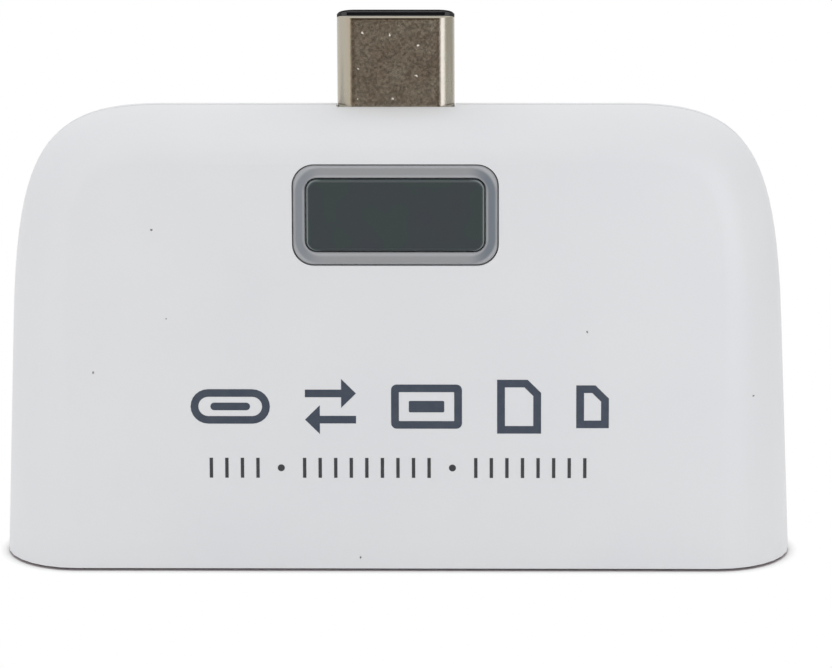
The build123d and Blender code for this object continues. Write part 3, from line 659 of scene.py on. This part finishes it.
def print_marks():
    """Row of marks from left to right, evenly spread between its two ends."""
    widths = [PLUG_MARK[0], ARROW_LENGTH, PORT_MARK[0], CARD_MARK[0], SMALL_CARD_MARK[0]]
    gap = (MARK_RIGHT - MARK_LEFT - sum(widths)) / (len(widths) - 1)
    middles = [MARK_LEFT + sum(widths[:i]) + i * gap + width / 2 for i, width in enumerate(widths)]
    drawings = (
        frame_mark(*PLUG_MARK, PLUG_MARK[1] / 2) + [rounded(PLUG_MARK[0] / 2, MARK_STROKE, MARK_STROKE / 2)],
        arrow_mark(ARROW_SPREAD, ARROW_LENGTH, 1) + arrow_mark(-ARROW_SPREAD, ARROW_LENGTH, -1),
        frame_mark(*PORT_MARK, PORT_CORNER) + [rounded(PORT_MARK[0] / 2, 1.5 * MARK_STROKE, TONGUE_CORNER)],
        card_mark(*CARD_MARK, MARK_CLIP),
        card_mark(*SMALL_CARD_MARK, MARK_CLIP),
    )
    names = ("plug_mark", "arrow_mark", "port_mark", "card_mark", "small_card_mark")
    for name, loops, x in zip(names, drawings, middles):
        ink_piece(name, loops, navy_ink, x, MARK_MIDDLE)


print_marks()


# What repeats, made by node trees

def new_tree(name, inputs):
    """Geometry tree with named inputs, and the sockets that give their values."""
    tree = bpy.data.node_groups.new(name, "GeometryNodeTree")
    for label, kind in inputs.items():
        tree.interface.new_socket(label, in_out="INPUT", socket_type="NodeSocket" + kind)
    tree.interface.new_socket("Geometry", in_out="OUTPUT", socket_type="NodeSocketGeometry")
    given = add_node(tree, "NodeGroupInput").outputs
    return tree, given


def end_tree(tree, instances, material):
    """Realizes instances, gives them their material and joins them to the tree's output."""
    real = add_node(tree, "GeometryNodeRealizeInstances", {"Geometry": instances})
    painted = add_node(tree, "GeometryNodeSetMaterial", {"Geometry": real.outputs[0], "Material": material})
    add_node(tree, "NodeGroupOutput", {"Geometry": painted.outputs[0]})


def grown(name, mesh, tree, values):
    """Plain mesh that a tree makes from a starting mesh and the values of its inputs."""
    piece = bpy.data.objects.new(name, mesh)
    bpy.context.scene.collection.objects.link(piece)
    growth = piece.modifiers.new("growth", "NODES")
    growth.node_group = tree
    for item in tree.interface.items_tree:
        if item.in_out == "INPUT" and item.name in values:
            growth[item.identifier] = values[item.name]
    return baked(piece)


def pad_row_tree():
    """Row of equal flat strokes along X."""
    tree, given = new_tree("pad_row", {
        "Geometry": "Geometry", "Count": "Int", "Pitch": "Float", "Size": "Vector", "Ink": "Material"})
    step = add_node(tree, "ShaderNodeCombineXYZ", {"X": given["Pitch"]})
    line = add_node(tree, "GeometryNodeMeshLine", {"Count": given["Count"], "Offset": step.outputs[0]})
    stroke = add_node(tree, "GeometryNodeMeshCube", {"Size": given["Size"]})
    strokes = add_node(tree, "GeometryNodeInstanceOnPoints", {
        "Points": line.outputs["Mesh"], "Instance": stroke.outputs["Mesh"]})
    end_tree(tree, strokes.outputs["Instances"], given["Ink"])
    return tree


def print_pads():
    """Row of fine strokes in three groups with a dot between them, one stroke for each contact."""
    tree = pad_row_tree()
    x = PAD_LEFT + PAD_WIDTH / 2
    lift = Matrix.Translation((0, 0, (INK_PROUD - INK_SUNK) / 2 * MM))
    for number, count in enumerate(PAD_GROUPS):
        size = Vector((PAD_WIDTH, PAD_HEIGHT, INK_SUNK + INK_PROUD)) * MM
        piece = grown(f"pad_strokes_{number}", bpy.data.meshes.new("pads"), tree, {
            "Count": count, "Pitch": PAD_PITCH * MM, "Size": size, "Ink": dark_ink})
        piece.data.transform(front_matrix(x, PAD_MIDDLE) @ lift)
        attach(piece, "root")
        x += (count - 1) * PAD_PITCH
        if number < len(PAD_GROUPS) - 1:
            x += DOT_GAP * PAD_PITCH
            dot = rounded(DOT_SIZE, DOT_SIZE, DOT_SIZE / 2)
            ink_piece(f"pad_dot_{number}", [dot], dark_ink, x, PAD_MIDDLE)
            x += DOT_GAP * PAD_PITCH


print_pads()


def dust_tree():
    """Small rough grains on the points of a mesh, each turned and sized by chance."""
    tree, given = new_tree("dust", {
        "Geometry": "Geometry", "Size": "Float", "Seed": "Int", "Material": "Material"})
    grain = add_node(tree, "GeometryNodeMeshIcoSphere", {"Radius": given["Size"], "Subdivisions": 2})
    turn = add_node(tree, "FunctionNodeRandomValue", {
        "Max": (pi, pi, pi), "Seed": given["Seed"]}, data_type="FLOAT_VECTOR")
    size = add_node(tree, "FunctionNodeRandomValue", {
        "Min": DUST_LEAST, "Max": DUST_MOST, "Seed": given["Seed"]}, data_type="FLOAT_VECTOR")
    grains = add_node(tree, "GeometryNodeInstanceOnPoints", {
        "Points": given["Geometry"], "Instance": grain.outputs["Mesh"],
        "Rotation": turn.outputs[0], "Scale": size.outputs[0]})
    end_tree(tree, grains.outputs["Instances"], given["Material"])
    return tree


specks = bpy.data.meshes.new("dust_places")
specks.from_pydata([on_front(x, z)[0] for x, z in DUST], [], [])
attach(grown("dust_specks", specks, dust_tree(), {
    "Size": DUST_SIZE * MM, "Seed": DUST_SEED, "Material": dust}), "root")


# Camera

def aim_camera():
    """Long lens at the reader, turned a little to the side and slightly rolled."""
    azimuth = radians(VIEW_AZIMUTH)
    elevation = radians(VIEW_ELEVATION)
    roll = radians(VIEW_ROLL)
    forward = Vector((-sin(azimuth) * cos(elevation), cos(azimuth) * cos(elevation), -sin(elevation)))
    right = Vector((cos(azimuth), sin(azimuth), 0))
    up = right.cross(forward)
    target = right * VIEW_RIGHT * MM + Vector((0, 0, VIEW_UP * MM))
    rolled_right = cos(roll) * right - sin(roll) * up
    rolled_up = sin(roll) * right + cos(roll) * up
    data = bpy.data.cameras.new("camera")
    data.sensor_width = SENSOR_WIDTH
    data.lens = LENS_LENGTH
    data.clip_start = NEAR_CLIP * MM
    camera = bpy.data.objects.new("camera", data)
    bpy.context.scene.collection.objects.link(camera)
    turn = Matrix((rolled_right, rolled_up, -forward)).transposed().to_4x4()
    camera.matrix_world = Matrix.Translation(target - forward * VIEW_DISTANCE * MM) @ turn
    bpy.context.scene.camera = camera


aim_camera()


# Stage and light

def background_rays(tree):
    """1 for the rays that show the background itself: straight, mirrored or through glass."""
    path = add_node(tree, "ShaderNodeLightPath")
    straight = add_node(tree, "ShaderNodeMath", {
        0: path.outputs["Is Camera Ray"], 1: path.outputs["Is Glossy Ray"]}, operation="MAXIMUM")
    shown = add_node(tree, "ShaderNodeMath", {
        0: straight.outputs[0], 1: path.outputs["Is Transmission Ray"]}, operation="MAXIMUM")
    return shown.outputs[0]


def stage_piece(name, points, faces, material):
    """Flat stage piece from points in millimetres."""
    mesh = bpy.data.meshes.new(name)
    mesh.from_pydata([Vector(p) * MM for p in points], [], faces)
    piece = show(name, mesh, material)
    return piece


def floor_material():
    """White card that shows the reader's shadow close to its foot, with a painted contact shadow in a dark
    strip under its edge, and turns plain white further out.
    """
    material, tree = bare_material("white_floor")
    place = add_node(tree, "ShaderNodeTexCoord").outputs["Object"]
    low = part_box("front_shell")[0]
    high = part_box("rear_shell")[1]
    distance = core_distance(tree, place, (1, 1, 0), (0, 0, 0), ((high.x - low.x) / 2 - high.y, 0, 0))
    open_floor = add_node(tree, "ShaderNodeMapRange", {
        "Value": distance, "From Min": high.y, "From Max": high.y + FLOOR_SHADE * MM,
    }, interpolation_type="SMOOTHSTEP")
    plain = add_node(tree, "ShaderNodeMath", {
        0: open_floor.outputs["Result"], 1: background_rays(tree)}, operation="MULTIPLY")
    # painted contact shadow: darker paper in a strip under the reader's edge
    under = add_node(tree, "ShaderNodeMapRange", {
        "Value": distance,
        "From Min": high.y + FLOOR_DARK_END * MM, "From Max": high.y - FLOOR_DARK_END * MM})
    shade = add_node(tree, "ShaderNodeMix", {
        "Factor": under.outputs["Result"], "A": linear("#f7f7f7"), "B": linear("#c4bcbe"),
    }, data_type="RGBA")
    paper = add_node(tree, "ShaderNodeBsdfDiffuse", {"Color": shade.outputs["Result"]})
    white = add_node(tree, "ShaderNodeEmission", {"Color": linear("#ffffff"), "Strength": 1.0})
    mix = add_node(tree, "ShaderNodeMixShader", {
        0: plain.outputs[0], 1: paper.outputs[0], 2: white.outputs[0]})
    add_node(tree, "ShaderNodeOutputMaterial", {"Surface": mix.outputs[0]})
    return material


def glowing_card(name, code, level):
    """Card with an even colour and brightness of its own."""
    material, tree = bare_material(name)
    glow = add_node(tree, "ShaderNodeEmission", {"Color": linear(code), "Strength": level})
    add_node(tree, "ShaderNodeOutputMaterial", {"Surface": glow.outputs[0]})
    return material


def set_stage():
    """White floor, and round the front a dark card and pale panels, which only reflections show."""
    turns = [2 * pi * i / FLOOR_SIDES for i in range(FLOOR_SIDES)]
    rim = [(FLOOR_RADIUS * cos(turn), FLOOR_RADIUS * sin(turn), 0) for turn in turns]
    stage_piece("floor", rim, [range(FLOOR_SIDES)], floor_material())
    dark = glowing_card("dark_card", "#857a71", 1.0)
    warm = glowing_card("warm_panel", "#fff8f0", LEFT_LEVEL)
    bright = glowing_card("bright_panel", "#f3f5ff", RIGHT_LEVEL)
    grey = glowing_card("grey_panel", "#cfcfcb", 1.0)
    for name, start, end, material in (
        ("dark_card", (-CARD_HALF_WIDTH, -CARD_DISTANCE), (CARD_HALF_WIDTH, -CARD_DISTANCE), dark),
        ("left_panel", (-PANEL_REACH, -CARD_DISTANCE), (-CARD_HALF_WIDTH, -CARD_DISTANCE), warm),
        ("right_panel", (CARD_HALF_WIDTH, -CARD_DISTANCE), (PANEL_REACH, -CARD_DISTANCE), bright),
        ("side_panel", (PANEL_REACH, -CARD_DISTANCE), (PANEL_REACH, CARD_DISTANCE), grey),
    ):
        card = stage_piece(name, [
            (*start, 0), (*end, 0), (*end, CARD_HEIGHT), (*start, CARD_HEIGHT)], [(3, 2, 1, 0)], material)
        card.visible_camera = False
        card.visible_diffuse = False
        card.visible_shadow = False


def set_world():
    """White surroundings that light the reader softly, a little more from above than from the sides."""
    world = bpy.data.worlds.new("studio")
    bpy.context.scene.world = world
    world.use_nodes = True
    tree = world.node_tree
    tree.nodes.clear()
    direction = add_node(tree, "ShaderNodeSeparateXYZ", {
        "Vector": add_node(tree, "ShaderNodeTexCoord").outputs["Generated"]})
    level = add_node(tree, "ShaderNodeMapRange", {
        "Value": direction.outputs["Z"], "To Min": HORIZON_LEVEL, "To Max": SKY_LEVEL})
    light = add_node(tree, "ShaderNodeBackground", {
        "Color": linear("#ffffff"), "Strength": level.outputs["Result"]})
    white = add_node(tree, "ShaderNodeBackground", {"Color": linear("#ffffff"), "Strength": 1.0})
    mix = add_node(tree, "ShaderNodeMixShader", {
        0: background_rays(tree), 1: light.outputs[0], 2: white.outputs[0]})
    add_node(tree, "ShaderNodeOutputWorld", {"Surface": mix.outputs[0]})


def soft_lamp(name, place, size, power):
    """Square soft lamp at a place in millimetres, facing the reader's middle."""
    data = bpy.data.lights.new(name, "AREA")
    data.size = size * MM
    data.energy = power
    lamp = bpy.data.objects.new(name, data)
    bpy.context.scene.collection.objects.link(lamp)
    position = Vector(place) * MM
    aim = Vector((0, 0, VIEW_UP * MM)) - position
    lamp.matrix_world = Matrix.Translation(position) @ aim.to_track_quat("-Z", "Y").to_matrix().to_4x4()


set_stage()
set_world()
soft_lamp("key", KEY_PLACE, KEY_SIZE, KEY_POWER)
bpy.context.scene.view_settings.view_transform = "Standard"
